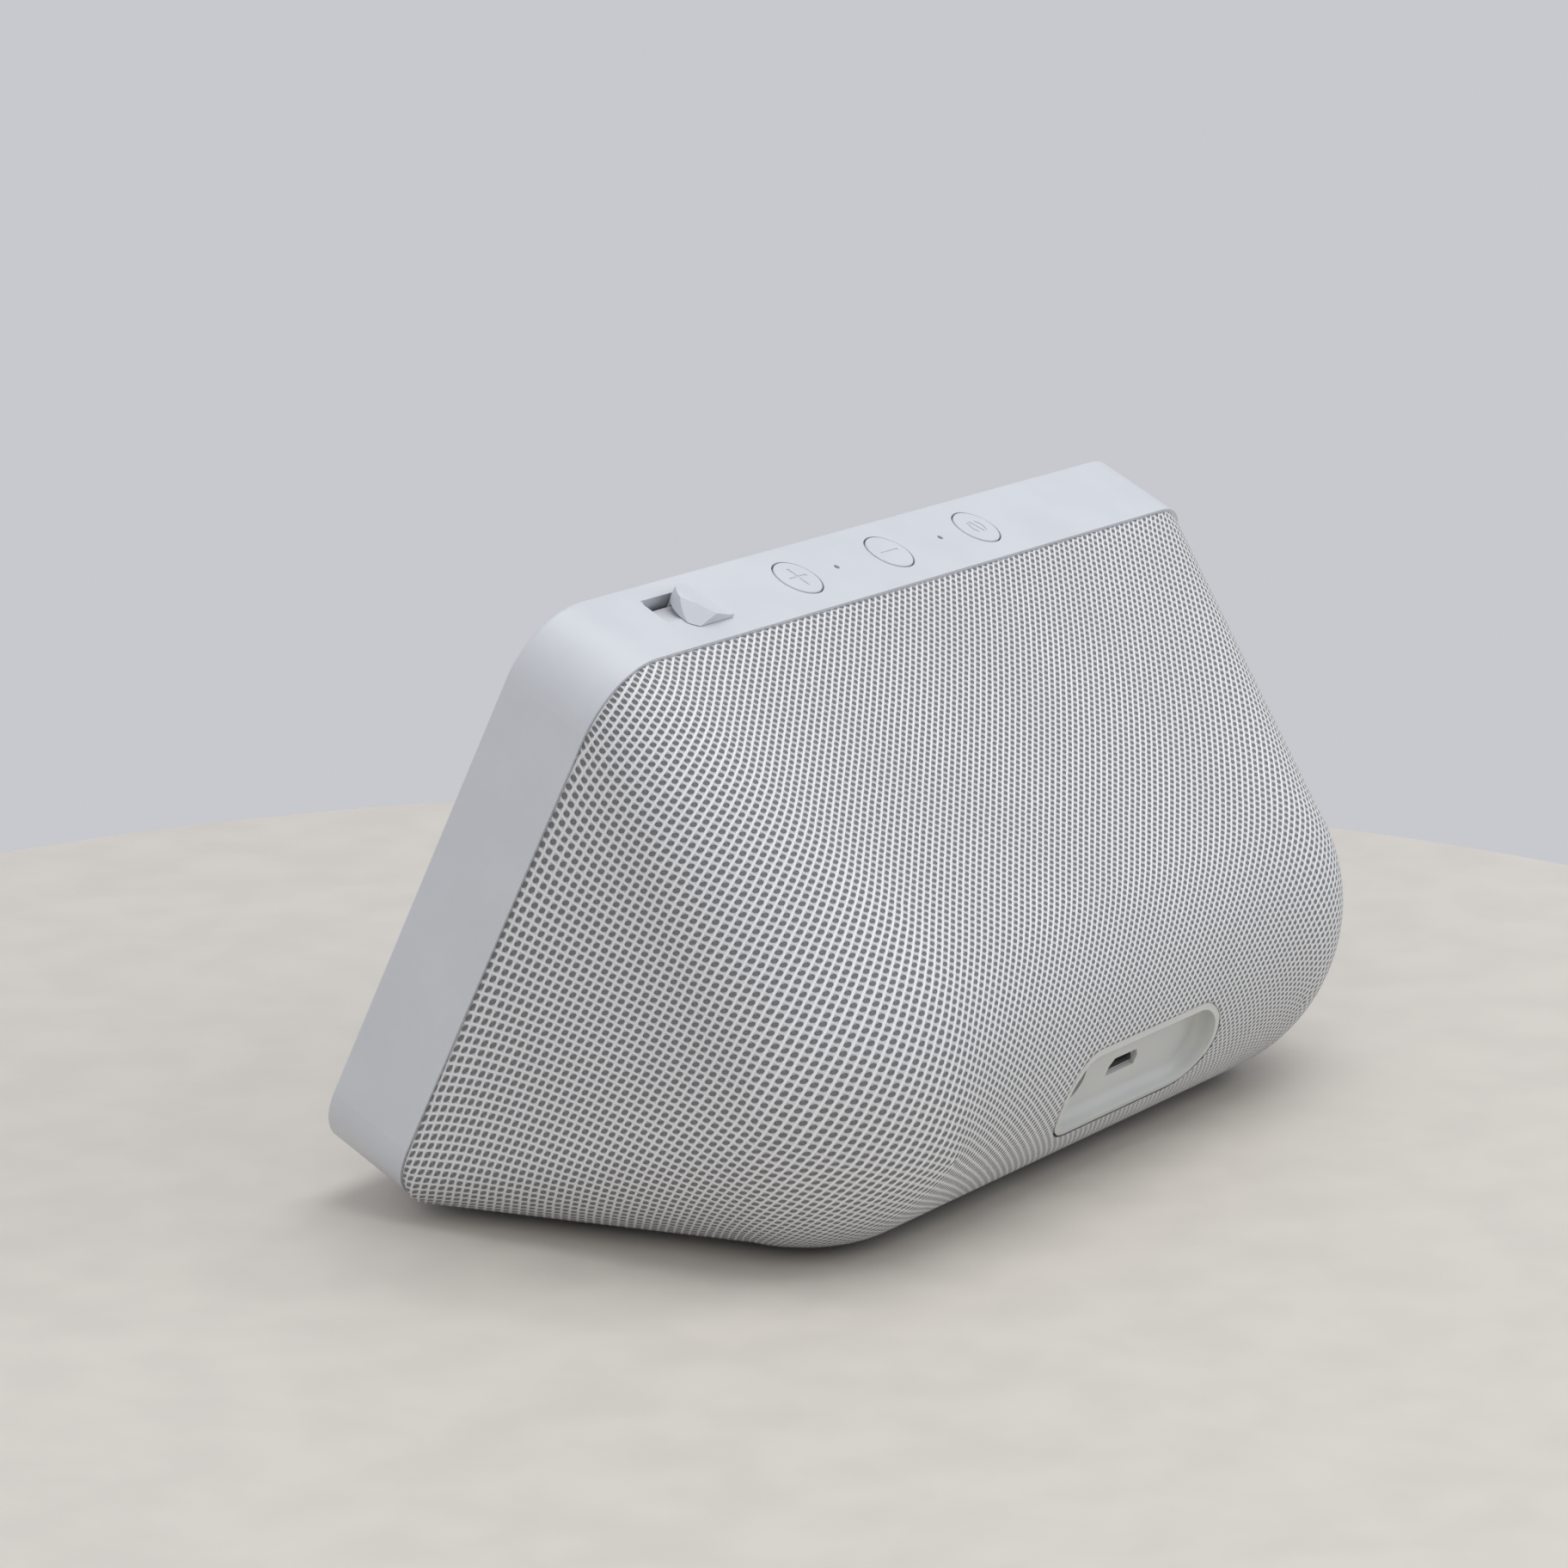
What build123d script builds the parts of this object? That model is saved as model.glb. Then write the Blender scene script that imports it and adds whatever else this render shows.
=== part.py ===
"""Smart speaker with a tilted screen, a fabric-covered speaker body behind it,
three push buttons and a sliding camera shutter on its top edge.

Frame of the part: +Z up, the screen faces -Y, +X is the side of the camera and its
shutter.  The origin is at the bottom centre of the whole object's box.  Lengths are
millimetres and angles degrees.
"""
from math import acos, asin, atan2, cos, degrees, pi, radians, sin, sqrt, tan
import os

from build123d import *

os.makedirs("parts", exist_ok=True)

# ---------------------------------------------------------------- overall sizes
WIDTH = 148.0            # outer width of the front frame
HEIGHT = 86.0            # table to the top edge of the frame
FRAME_LENGTH = 87.0      # slanted height of the frame
FRAME_DEPTH = 13.9       # thickness of the frame, screen face to fabric seam
FRAME_RADIUS = 9.9       # corner radius of the frame
TILT = 26.3              # lean of the screen from upright
BODY_REACH = 33.8        # seam to the centre of the rear rounding, square to the screen
NOSE_RADIUS = 26.3       # rounding of the body's rear edges and corners

# ---------------------------------------------------------------- clearances
GAP = 0.15               # fixed pieces that drop into a pocket
RUN = 0.25               # each side of a piece that moves
SEAT = 0.05              # pieces that lie on each other

# ---------------------------------------------------------------- front frame
WALL = 2.2               # frame wall
EDGE_ROUND = 0.7         # softened front edge
GLASS_THICK = 1.1
GLASS_MARGIN = 1.6       # plastic rim seen around the glass
LEDGE_THICK = 1.5        # ledge that the glass is bonded to
PANEL_WIDTH = 124.4
PANEL_HEIGHT = 68.4
PANEL_CENTRE = 41.0      # up the slant
PANEL_THICK = 1.9
BACKLIGHT_THICK = 1.6
BRACKET_THICK = 0.8
SEAM_INSET = 0.4         # fabric starts this far inside the frame's outline
SEAM_RADIUS = 9.5
TONGUE = 2.0             # depth of the housing rim inside the frame

# ---------------------------------------------------------------- top controls
CONTROL_PITCH = 22.6     # between button centres
BUTTON_RADIUS = 3.6
BUTTON_PROUD = 0.15
BUTTON_TRAVEL = 0.4
FLANGE_EXTRA = 0.4
FLANGE_THICK = 1.0
STEM_RADIUS = 1.5
STEM_LENGTH = 1.0
GLYPH_DEPTH = 0.12
GLYPH_WIDTH = 0.42
GLYPH_ARM = 2.0          # half length of a glyph's bar
MIC_PITCH = 26.2
MIC_RADIUS = 0.45
DOME_RADIUS = 2.2
DOME_HEIGHT = 0.9
SWITCH_BOARD = (62.0, 6.6, 1.2)

# ---------------------------------------------------------------- camera shutter
PAD_WIDTH = 7.5          # knob and its scoop, front to back
PAD_LENGTH = 8.7
PAD_RIGHT = 42.9         # inner end of the knob at rest
PAD_HIGH = 2.1
PAD_LOW = 0.5
PAD_SWEEP = 6.0          # rounding of the knob's outer front corner, seen from above
PAD_CORNER = 7.0         # rounding of its outer rear corner, at the top only
PAD_LEAN = 1.45          # how far that rounding moves out on the way down
PAD_LIFT = 0.1           # knob clear of the frame's top
SHUTTER_TRAVEL = 4.6
SCOOP_DEPTH = 1.6
SCOOP_WIDTH = 5.2
SCOOP_CORNER = 1.2
SCOOP_REST = 3.0         # scoop seen beyond the knob at rest
SLIT_WIDTH = 0.8
STEM_INSET = 1.4         # stem's inner end from the knob's inner end
STEM_WIDTH = 3.0
BLADE_THICK = 0.4
BLADE_HEIGHT = 5.2
BLADE_TAIL = 4.8         # blade beyond the stem's inner end
CAMERA_X = 60.6
CAMERA_DROP = 6.2        # below the frame's top edge
CAMERA_APERTURE = 1.8
CAMERA_BODY = (8.0, 7.0, 5.0)
LENS_RADIUS = 2.6
LENS_LENGTH = 1.0

# ---------------------------------------------------------------- rear body
BASE_LIFT = 1.85         # underside of the fabric above the table
FABRIC_THICK = 0.8
FABRIC_GAP = 0.1
HOUSING_WALL = 2.2
NOSE_HEIGHT = 0.3        # straight part between the nose's two roundings
NOSE_INSET = 0.6         # how much narrower the nose is than the seam, each side
NOSE_RISE = 0.23         # lower rounding's centre above the base plane's own rise
BOTTOM_RADIUS = 7.6      # bottom side edge just behind the frame
BOTTOM_START = 1.85      # depth at which that edge begins
SIDE_STEPS = 4           # cross-sections along the straight part of the body
CAP_STEPS = 8            # cross-sections around the rear rounding

# ---------------------------------------------------------------- foot and base
FOOT_WIDTH = 112.0
FOOT_LENGTH = 40.0
FOOT_RADIUS = 12.0
FOOT_GAP = 0.4
FOOT_CENTRE = 39.0       # behind the frame's front bottom edge
BASE_PLATE_THICK = 1.6
HATCH_WIDTH = 92.0
HATCH_LENGTH = 26.0
HATCH_RADIUS = 6.0

# ---------------------------------------------------------------- port recess
PORT_LENGTH = 41.0
PORT_HEIGHT = 13.9
PORT_ANGLE = 23.5        # recess faces this far below level
PORT_DEPTH = 3.0         # flat floor below the body's outermost line
PORT_WALL = 1.0
PORT_FLOOR_THICK = 1.3
PORT_FILLET = 1.4
DC_OFFSET = -13.6        # along the recess, seen from behind
DC_RADIUS = 3.2
DC_PIN_RADIUS = 0.85
DC_DEPTH = 9.5
DC_BODY = (9.4, 9.0, 11.5)
USB_DROP = 0.3           # below the recess's middle line
USB_WIDTH = 7.2
USB_HEIGHT = 2.3
USB_CUT = 0.9            # cut upper corners
USB_WALL = 0.3
USB_DEPTH = 5.0
PORT_BOARD = (28.0, 10.5, 1.2)
PORT_BOARD_OFFSET = -7.0 # board and its sockets lie towards one end of the recess

# ---------------------------------------------------------------- loudspeaker
SPEAKER_AT = 25.0        # behind the seam, on the sloping back
BASKET_RADIUS = 21.0
BASKET_FLANGE = 1.6
BASKET_DEPTH = 11.0
BASKET_BOTTOM = 12.6     # radius at the magnet end
BASKET_WALL = 1.0
CONE_RADIUS = 15.4
CONE_DEPTH = 5.0
CONE_THICK = 0.5
COIL_RADIUS = 6.4
COIL_THICK = 0.5
COIL_LENGTH = 7.0
CONE_TRAVEL = 1.5
MAGNET_RADIUS = 13.0
MAGNET_THICK = 5.0
PLATE_THICK = 2.0
POLE_RADIUS = 5.6
GRILLE_HOLE = 1.0
GRILLE_PITCH = 3.4
GASKET_THICK = 0.8
GASKET_GAP = 0.3         # between the gasket and the housing's slightly faceted inside
COIL_GAP = 0.35

# ---------------------------------------------------------------- electronics
MAIN_BOARD = (104.0, 46.0, 1.2)
MAIN_BOARD_V = 35.0
MAIN_BOARD_DEPTH = 14.9  # behind the screen face
SHIELD = (30.0, 24.0, 2.2)
SPREADER = (84.0, 40.0, 1.0)
ANTENNA = (0.8, 30.0, 5.0)
CABLE_THICK = 0.3
SCREW_RADIUS = 1.1
SCREW_HEAD = 2.0
SCREW_HEAD_THICK = 1.2

# ---------------------------------------------------------------- derived frame of the screen
LEAN = radians(TILT)
LIFT = HEIGHT - FRAME_LENGTH * cos(LEAN)            # front bottom edge above the table
SEAM_Y = FRAME_DEPTH * cos(LEAN)                    # seam's foot behind that edge
BASE_RISE = tan(LEAN)                               # base plane against depth, seen square to the screen
NOSE_LOW = BODY_REACH * BASE_RISE + NOSE_RADIUS + NOSE_RISE     # lower rounding centre, up the slant
NOSE_TOP = NOSE_LOW + NOSE_HEIGHT
NOSE_X = WIDTH / 2 - SEAM_INSET - NOSE_INSET - NOSE_RADIUS
SEAM_TOP = FRAME_LENGTH - SEAM_INSET
REAR_Y = SEAM_Y + BODY_REACH * cos(LEAN) + NOSE_TOP * sin(LEAN) + NOSE_RADIUS
FRONT_Y = EDGE_ROUND * (sin(LEAN) + cos(LEAN) - 1)  # foremost point of the rounded bottom edge
MIDDLE_Y = (FRONT_Y + REAR_Y) / 2                   # middle of the object behind the sharp bottom edge
SCREEN = Plane(origin=(0, -MIDDLE_Y, LIFT), x_dir=(1, 0, 0), z_dir=(0, -cos(LEAN), sin(LEAN)))
TOP = Plane(SCREEN.from_local_coords((0, FRAME_LENGTH, -FRAME_DEPTH / 2)),
            x_dir=(1, 0, 0), z_dir=(0, sin(LEAN), cos(LEAN)))
INNER_TOP = FRAME_LENGTH - WALL


def save(node, shape):
    """Write one node's solids as parts/NODE.step."""
    solids = shape.solids()
    out = solids[0] if len(solids) == 1 else Compound(children=solids)
    export_step(out, f"parts/{node}.step")
    print(f"{node:22s} {len(solids)} solids {sum(s.volume for s in solids):10.1f} mm3")


def slab(width, height, radius, thick, at=(0, 0, 0)):
    """Rounded plate, its +z face at the given point and its thickness going down."""
    outline = RectangleRounded(width, height, radius) if radius else Rectangle(width, height)
    return Pos(*at) * extrude(outline, -thick)


def block(size, at=(0, 0, 0)):
    """Plain block with its +z face centred on the given point."""
    return Pos(*at) * extrude(Rectangle(size[0], size[1]), -size[2])


def rod(radius, length, at=(0, 0, 0)):
    """Cylinder whose +z end is at the given point."""
    return Pos(*at) * extrude(Circle(radius), -length)


def cut(shape, tools):
    """Take a list of shapes away from a shape."""
    for tool in tools:
        shape = shape - tool
    return shape


# ================================================================ rear body surface
def tangent_angle(rise):
    """Angle past the nose's centre where a line from the seam touches the rounding."""
    return degrees(acos(-NOSE_RADIUS / sqrt(BODY_REACH**2 + rise**2)) - atan2(rise, BODY_REACH))


BLEND_ANGLE = (tangent_angle(SEAM_TOP - NOSE_TOP) + tangent_angle(NOSE_LOW - SEAM_INSET)) / 2
BLEND = BODY_REACH + NOSE_RADIUS * cos(radians(BLEND_ANGLE))     # straight sides run into the rounding
BLEND_RADIUS = NOSE_RADIUS * sin(radians(BLEND_ANGLE))
BACK_SLOPE = atan2(SEAM_TOP - NOSE_TOP - BLEND_RADIUS, BLEND)    # sloping back, seen square to the screen


def body_profile(depth, inset):
    """Corner circles of the body's cross-section parallel to the screen.

    depth runs from the seam (0) towards the rear; inset shrinks the outline evenly.
    Up to BLEND the circles run straight from the seam's corners to the nose, so each
    corner is a cone; past it they follow the nose's rounding.
    Returns (x, v, radius) of the top and of the bottom corner circle on the +X side.
    """
    nose = NOSE_RADIUS - inset
    if depth > BLEND:
        r = sqrt(nose**2 - (depth - BODY_REACH)**2)
        return (NOSE_X, NOSE_TOP, r), (NOSE_X, NOSE_LOW, r)
    half = WIDTH / 2 - SEAM_INSET
    end = sqrt(nose**2 - (BLEND - BODY_REACH)**2)

    def corner(radius, sign, edge, v_finish, start):
        share = max(0, depth - start) / (BLEND - start)
        begin = (half - radius, edge - sign * radius, radius - inset / cos(BACK_SLOPE))
        return tuple(a + (b - a) * share for a, b in zip(begin, (NOSE_X, v_finish, end)))

    # the bottom corner tightens from the seam's radius to its own within BOTTOM_START
    radius = max(BOTTOM_RADIUS, SEAM_RADIUS + (BOTTOM_RADIUS - SEAM_RADIUS) * depth / BOTTOM_START)
    return (corner(SEAM_RADIUS, 1, SEAM_TOP, NOSE_TOP, 0),
            corner(radius, -1, SEAM_INSET, NOSE_LOW, BOTTOM_START))


def body_section(depth, inset=0.0):
    """The cross-section as a face: four corner arcs joined by tangent lines."""
    (xt, vt, rt), (xb, vb, rb) = body_profile(depth, inset)
    across, up = xt - xb, vt - vb
    side = degrees(atan2(up, across) - acos((rb - rt) / sqrt(across**2 + up**2)))

    def on(x, v, r, angle):
        return (x + r * cos(radians(angle)), v + r * sin(radians(angle)))

    right = [on(xb, vb, rb, -90), on(xb, vb, rb, (side - 90) / 2), on(xb, vb, rb, side),
             on(xt, vt, rt, side), on(xt, vt, rt, (side + 90) / 2), on(xt, vt, rt, 90)]
    left = [(-x, v) for x, v in reversed(right)]
    edges = [ThreePointArc(*right[0:3]), Line(right[2], right[3]), ThreePointArc(*right[3:6]),
             Line(right[5], left[0]), ThreePointArc(*left[0:3]), Line(left[2], left[3]),
             ThreePointArc(*left[3:6]), Line(left[5], right[0])]
    face = make_face(Curve() + edges)
    return SCREEN * Pos(0, 0, -FRAME_DEPTH - depth) * face


def below_base(floor):
    """Everything below the flat base of the body."""
    return Pos(0, 0, BASE_LIFT + floor) * extrude(Rectangle(3 * WIDTH, 3 * WIDTH), -HEIGHT)


def body_solid(inset=0.0, floor=0.0):
    """Solid body from the seam to the rear, cut flat at the base."""
    nose = NOSE_RADIUS - inset
    depths = [0] + [BOTTOM_START + (BLEND - BOTTOM_START) * k / SIDE_STEPS for k in range(SIDE_STEPS + 1)]
    start = asin((BLEND - BODY_REACH) / nose)
    depths += [BODY_REACH + nose * sin(start + (pi / 2 - start) * k / (CAP_STEPS + 0.3))
               for k in range(1, CAP_STEPS + 1)]
    solid = loft([body_section(d, inset) for d in depths], ruled=True)
    return solid - below_base(floor)


def foot_outline(extra=0.0):
    """Outline of the foot pad on the table plane."""
    outline = RectangleRounded(FOOT_WIDTH + 2 * extra, FOOT_LENGTH + 2 * extra, FOOT_RADIUS + extra)
    return Pos(0, FOOT_CENTRE - MIDDLE_Y, 0) * outline


def hatch_outline(extra=0.0):
    """Outline of the base plate's hatch, inside the foot's outline."""
    outline = RectangleRounded(HATCH_WIDTH + 2 * extra, HATCH_LENGTH + 2 * extra, HATCH_RADIUS + extra)
    return Pos(0, FOOT_CENTRE - MIDDLE_Y, 0) * outline


# ---------------------------------------------------------------- port recess frame
PORT_DIR = Vector(0, cos(radians(PORT_ANGLE)), -sin(radians(PORT_ANGLE)))
NOSE_CENTRE = SCREEN.from_local_coords((0, NOSE_LOW, -FRAME_DEPTH - BODY_REACH))
PORT = Plane(NOSE_CENTRE + PORT_DIR * NOSE_RADIUS, x_dir=(-1, 0, 0), z_dir=PORT_DIR)
PORT_FLOOR = -PORT_DEPTH


def port_outline(extra=0.0):
    return SlotOverall(PORT_LENGTH + 2 * extra, PORT_HEIGHT + 2 * extra)


# ---------------------------------------------------------------- loudspeaker frame
BACK_TOP_V = SEAM_TOP - SPEAKER_AT * tan(BACK_SLOPE)
INSIDE = FABRIC_THICK + FABRIC_GAP + HOUSING_WALL
BACK_POINT = SCREEN.from_local_coords((0, BACK_TOP_V, -FRAME_DEPTH - SPEAKER_AT))
BACK_NORMAL = (SCREEN.from_local_coords((0, cos(BACK_SLOPE), -sin(BACK_SLOPE)))
               - SCREEN.from_local_coords((0, 0, 0)))
SPEAKER = Plane(BACK_POINT - BACK_NORMAL * (INSIDE + GASKET_GAP), x_dir=(-1, 0, 0), z_dir=BACK_NORMAL)


# ================================================================ front frame pieces
GLASS_W = WIDTH - 2 * GLASS_MARGIN
GLASS_H = FRAME_LENGTH - 2 * GLASS_MARGIN
GLASS_R = FRAME_RADIUS - GLASS_MARGIN
POCKET = GLASS_THICK + GAP
CAVITY_M = -(POCKET + LEDGE_THICK)
CAMERA_V = FRAME_LENGTH - CAMERA_DROP
SENSOR_X = 38.0
BOSS_RADIUS = 3.0
BOSS_INSET = 7.6
BOSS_HEIGHTS = (BOSS_INSET, FRAME_LENGTH - 2.2 * BOSS_INSET)
BOSSES = [(sx * (WIDTH / 2 - BOSS_INSET), v) for sx in (-1, 1) for v in BOSS_HEIGHTS]
BOSS_LENGTH = 5.5


def scoop_outline():
    """Scoop outline: under the knob at rest and a finger's width beyond it, on the frame's top face."""
    length = PAD_LENGTH + SCOOP_REST - 2 * SCOOP_CORNER
    centre = PAD_RIGHT + SCOOP_CORNER + (PAD_LENGTH + SCOOP_REST - SCOOP_CORNER) / 2
    return Pos(centre, 0, 0) * RectangleRounded(length + SCOOP_CORNER, PAD_WIDTH, SCOOP_CORNER)


SLIT_Q = -PAD_WIDTH / 2 + SLIT_WIDTH / 2            # slit runs at the scoop's front wall
STEM_X0 = PAD_RIGHT + STEM_INSET
STEM_X1 = STEM_X0 + STEM_WIDTH
SLIT_X0 = STEM_X0 - RUN
SLIT_X1 = max(STEM_X1 + SHUTTER_TRAVEL + RUN, PAD_RIGHT + PAD_LENGTH + SCOOP_REST - 0.3)


def scoop():
    """Wedge-shaped finger scoop with its deep side at the front."""
    front = -PAD_WIDTH / 2
    wedge = make_face(Polyline((front, 0.5), (front, -SCOOP_DEPTH), (front + SLIT_WIDTH, -SCOOP_DEPTH),
                               (front + SCOOP_WIDTH, 0), (front + SCOOP_WIDTH, 0.5), close=True))
    prism = extrude(Plane.YZ * wedge, 2 * WIDTH, both=True)
    return TOP * (prism & extrude(scoop_outline(), 4, both=True))


def button_positions():
    return [-CONTROL_PITCH, 0, CONTROL_PITCH]


def front_frame():
    shell = slab(WIDTH, FRAME_LENGTH, FRAME_RADIUS, FRAME_DEPTH, (0, FRAME_LENGTH / 2, 0))
    shell = fillet(shell.edges().group_by(Axis.Z)[-1], EDGE_ROUND)
    mid = FRAME_LENGTH / 2
    shell -= slab(GLASS_W + 2 * GAP, GLASS_H + 2 * GAP, GLASS_R + GAP, POCKET, (0, mid, 0))
    shell -= slab(WIDTH - 2 * WALL, FRAME_LENGTH - 2 * WALL, FRAME_RADIUS - WALL, FRAME_DEPTH,
                  (0, mid, CAVITY_M))
    shell -= slab(PANEL_WIDTH + 2 * GAP, PANEL_HEIGHT + 2 * GAP, 1.0, FRAME_DEPTH, (0, PANEL_CENTRE, 0))
    for x, v in BOSSES:
        shell += rod(BOSS_RADIUS, BOSS_LENGTH, (x, v, CAVITY_M))
        shell -= rod(SCREW_RADIUS - 0.25, BOSS_LENGTH - 1, (x, v, CAVITY_M - 1.5))
    shell -= rod(CAMERA_APERTURE, FRAME_DEPTH, (CAMERA_X, CAMERA_V, 0))
    shell -= rod(0.8, FRAME_DEPTH, (SENSOR_X, CAMERA_V, 0))
    shell = SCREEN * shell
    holes = [TOP * rod(BUTTON_RADIUS + RUN, 2 * WALL, (x, 0, WALL / 2)) for x in button_positions()]
    holes += [TOP * rod(MIC_RADIUS, 2 * WALL, (x, 0, WALL / 2)) for x in (-MIC_PITCH / 2, MIC_PITCH / 2)]
    slit = block((SLIT_X1 - SLIT_X0, SLIT_WIDTH, 2 * WALL), ((SLIT_X0 + SLIT_X1) / 2, SLIT_Q, WALL / 2))
    holes += [scoop(), TOP * slit]
    return cut(shell, holes)


save("front_frame", front_frame())
save("cover_glass", SCREEN * fillet(slab(GLASS_W, GLASS_H, GLASS_R, GLASS_THICK, (0, FRAME_LENGTH / 2, 0))
                                    .edges().group_by(Axis.Z)[-1], 0.3))
PANEL_M = -POCKET - 0.1
save("display_panel", SCREEN * slab(PANEL_WIDTH, PANEL_HEIGHT, 0.8, PANEL_THICK, (0, PANEL_CENTRE, PANEL_M)))
LIGHT_M = PANEL_M - PANEL_THICK - SEAT
save("backlight_unit", SCREEN * slab(PANEL_WIDTH, PANEL_HEIGHT, 0.8, BACKLIGHT_THICK, (0, PANEL_CENTRE, LIGHT_M)))
BRACKET_M = LIGHT_M - BACKLIGHT_THICK - SEAT


def display_bracket():
    """Stamped tray behind the backlight, with turned-up long edges and pressed holes."""
    width, height = PANEL_WIDTH + 2.4, PANEL_HEIGHT + 2.4
    tray = slab(width, height, 2.0, BRACKET_THICK, (0, PANEL_CENTRE, BRACKET_M))
    rim = slab(width, height, 2.0, PANEL_THICK, (0, PANEL_CENTRE, BRACKET_M + PANEL_THICK - 0.2))
    rim -= slab(PANEL_WIDTH + 0.6, PANEL_HEIGHT + 0.6, 0.9, 3 * PANEL_THICK, (0, PANEL_CENTRE, 0))
    tray = tray + rim
    for x in (-45, -15, 15, 45):
        tray -= slab(14, 5, 2.4, 6, (x, PANEL_CENTRE + 26, BRACKET_M + 1))
    return SCREEN * tray


save("display_bracket", display_bracket())

# ================================================================ camera and its shutter
CAMERA_M = CAVITY_M - 1.7                              # front of the lens, behind the blade
lens = rod(LENS_RADIUS, LENS_LENGTH, (CAMERA_X, CAMERA_V, CAMERA_M))
save("camera_lens", SCREEN * fillet(lens.edges().group_by(Axis.Z)[-1], 0.4))
save("camera_module", SCREEN * block(CAMERA_BODY, (CAMERA_X, CAMERA_V, CAMERA_M - LENS_LENGTH)))
save("light_sensor", SCREEN * block((2.6, 2.0, 1.0), (SENSOR_X, CAMERA_V, CAVITY_M - SEAT)))

BLADE_M = -(FRAME_DEPTH / 2 + SLIT_Q) + BLADE_THICK / 2    # blade hangs straight down from the slit
BLADE_TOP = INNER_TOP - RUN
BLADE_END = CAMERA_X - CAMERA_APERTURE - 0.6


def shutter_blade():
    length = BLADE_END - STEM_X0 + BLADE_TAIL
    blade = block((length, BLADE_HEIGHT, BLADE_THICK), (BLADE_END - length / 2, BLADE_TOP - BLADE_HEIGHT / 2, BLADE_M))
    return SCREEN * fillet(blade.edges().filter_by(Axis.Z), 0.8)


save("shutter_blade", shutter_blade())


def pad_block():
    """Knob seen from above: a rectangle whose outer front corner is swept back.

    Its outer rear corner is sharp at the bottom and round at the top: a prism with that corner
    rounded leans outwards on its way down and trims the block.
    """
    outer, rear = PAD_LENGTH / 2, PAD_WIDTH / 2
    plan = Rectangle(PAD_LENGTH, PAD_WIDTH)
    front_corner = plan.vertices().sort_by(lambda v: v.X - v.Y)[-1]
    body = extrude(fillet(front_corner, PAD_SWEEP), PAD_HIGH)
    round_plan = Pos(outer - PAD_LENGTH, rear - PAD_WIDTH) * Rectangle(2 * PAD_LENGTH, 2 * PAD_WIDTH)
    rear_corner = round_plan.vertices().sort_by(lambda v: v.X + v.Y)[-1]
    trim = extrude(fillet(rear_corner, PAD_CORNER), amount=2 * PAD_HIGH,
                   dir=(PAD_LEAN / PAD_HIGH, PAD_LEAN / PAD_HIGH, -1))
    return body & (Pos(0, 0, PAD_HIGH) * trim)


def shutter_slider():
    """Thumb pad, high at its outer end, with the stem that reaches the blade."""
    centre = PAD_RIGHT + PAD_LENGTH / 2
    half_length = PAD_LENGTH / 2
    above = make_face(Polyline((-half_length - 1, PAD_LOW), (-half_length + 1, PAD_LOW + 0.05),
                               (half_length - 1.8, PAD_HIGH), (half_length + 1, PAD_HIGH + 0.1),
                               (half_length + 1, 3 * PAD_HIGH), (-half_length - 1, 3 * PAD_HIGH), close=True))
    pad = pad_block() - extrude(Plane.XZ * above, PAD_WIDTH, both=True)
    # the stem ends on the blade's top edge
    stem = block((STEM_WIDTH, BLADE_THICK, WALL + RUN + PAD_LIFT), ((STEM_X0 + STEM_X1) / 2, SLIT_Q, PAD_LIFT))
    return TOP * (Pos(centre, 0, PAD_LIFT) * pad + stem)


save("shutter_slider", shutter_slider())


# ================================================================ buttons and switch board
def glyph(kind):
    """Shallow engraved sign on a button: plus, minus or a crossed pair of arcs."""
    bar = Rectangle(2 * GLYPH_ARM, GLYPH_WIDTH)
    if kind == "plus":
        sign = bar + Rectangle(GLYPH_WIDTH, 2 * GLYPH_ARM)
    elif kind == "minus":
        sign = bar
    else:
        ring = Circle(1.55) - Circle(1.55 - GLYPH_WIDTH)
        sign = (ring - Rectangle(1.7, 4)) + Rot(0, 0, 12) * Rectangle(GLYPH_WIDTH, 2.6)
    return extrude(sign, -GLYPH_DEPTH)


def button(x, kind):
    cap = rod(BUTTON_RADIUS, WALL + BUTTON_PROUD + 0.3, (x, 0, BUTTON_PROUD))
    cap = fillet(cap.edges().group_by(Axis.Z)[-1], 0.25)
    flange_top = -WALL - SEAT - 0.1
    cap += rod(BUTTON_RADIUS + FLANGE_EXTRA, FLANGE_THICK, (x, 0, flange_top))
    cap += rod(STEM_RADIUS, STEM_LENGTH, (x, 0, flange_top - FLANGE_THICK))
    return TOP * (cap - Pos(x, 0, BUTTON_PROUD) * glyph(kind))


for name, x, kind in zip(("mute_button", "volume_down_button", "volume_up_button"),
                         button_positions(), ("mute", "minus", "plus")):
    save(name, button(x, kind))

STEM_END = -WALL - SEAT - 0.1 - FLANGE_THICK - STEM_LENGTH
DOME_TOP = STEM_END - BUTTON_TRAVEL - 0.15
BOARD_TOP = DOME_TOP - DOME_HEIGHT
board = block(SWITCH_BOARD, (0, 0, BOARD_TOP - SEAT))
save("switch_board", TOP * board)
domes = []
for x in button_positions():
    dome = rod(DOME_RADIUS, DOME_HEIGHT, (x, 0, DOME_TOP))
    domes.append(fillet(dome.edges().group_by(Axis.Z)[-1], 0.5))
save("dome_switches", TOP * Compound(children=[d.solid() for d in domes]))
MIC_X = (-MIC_PITCH / 2, MIC_PITCH / 2)
save("microphones", TOP * Compound(children=[block((3.6, 2.8, 1.0), (x, 0, BOARD_TOP + 1.0)).solid() for x in MIC_X]))
mic_seals = []
for x in MIC_X:
    seal = rod(1.9, -WALL - SEAT - (BOARD_TOP + 1.0 + SEAT), (x, 0, -WALL - SEAT))
    mic_seals.append((seal - rod(0.8, 9, (x, 0, 0))).solid())
save("mic_seals", TOP * Compound(children=mic_seals))

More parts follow.
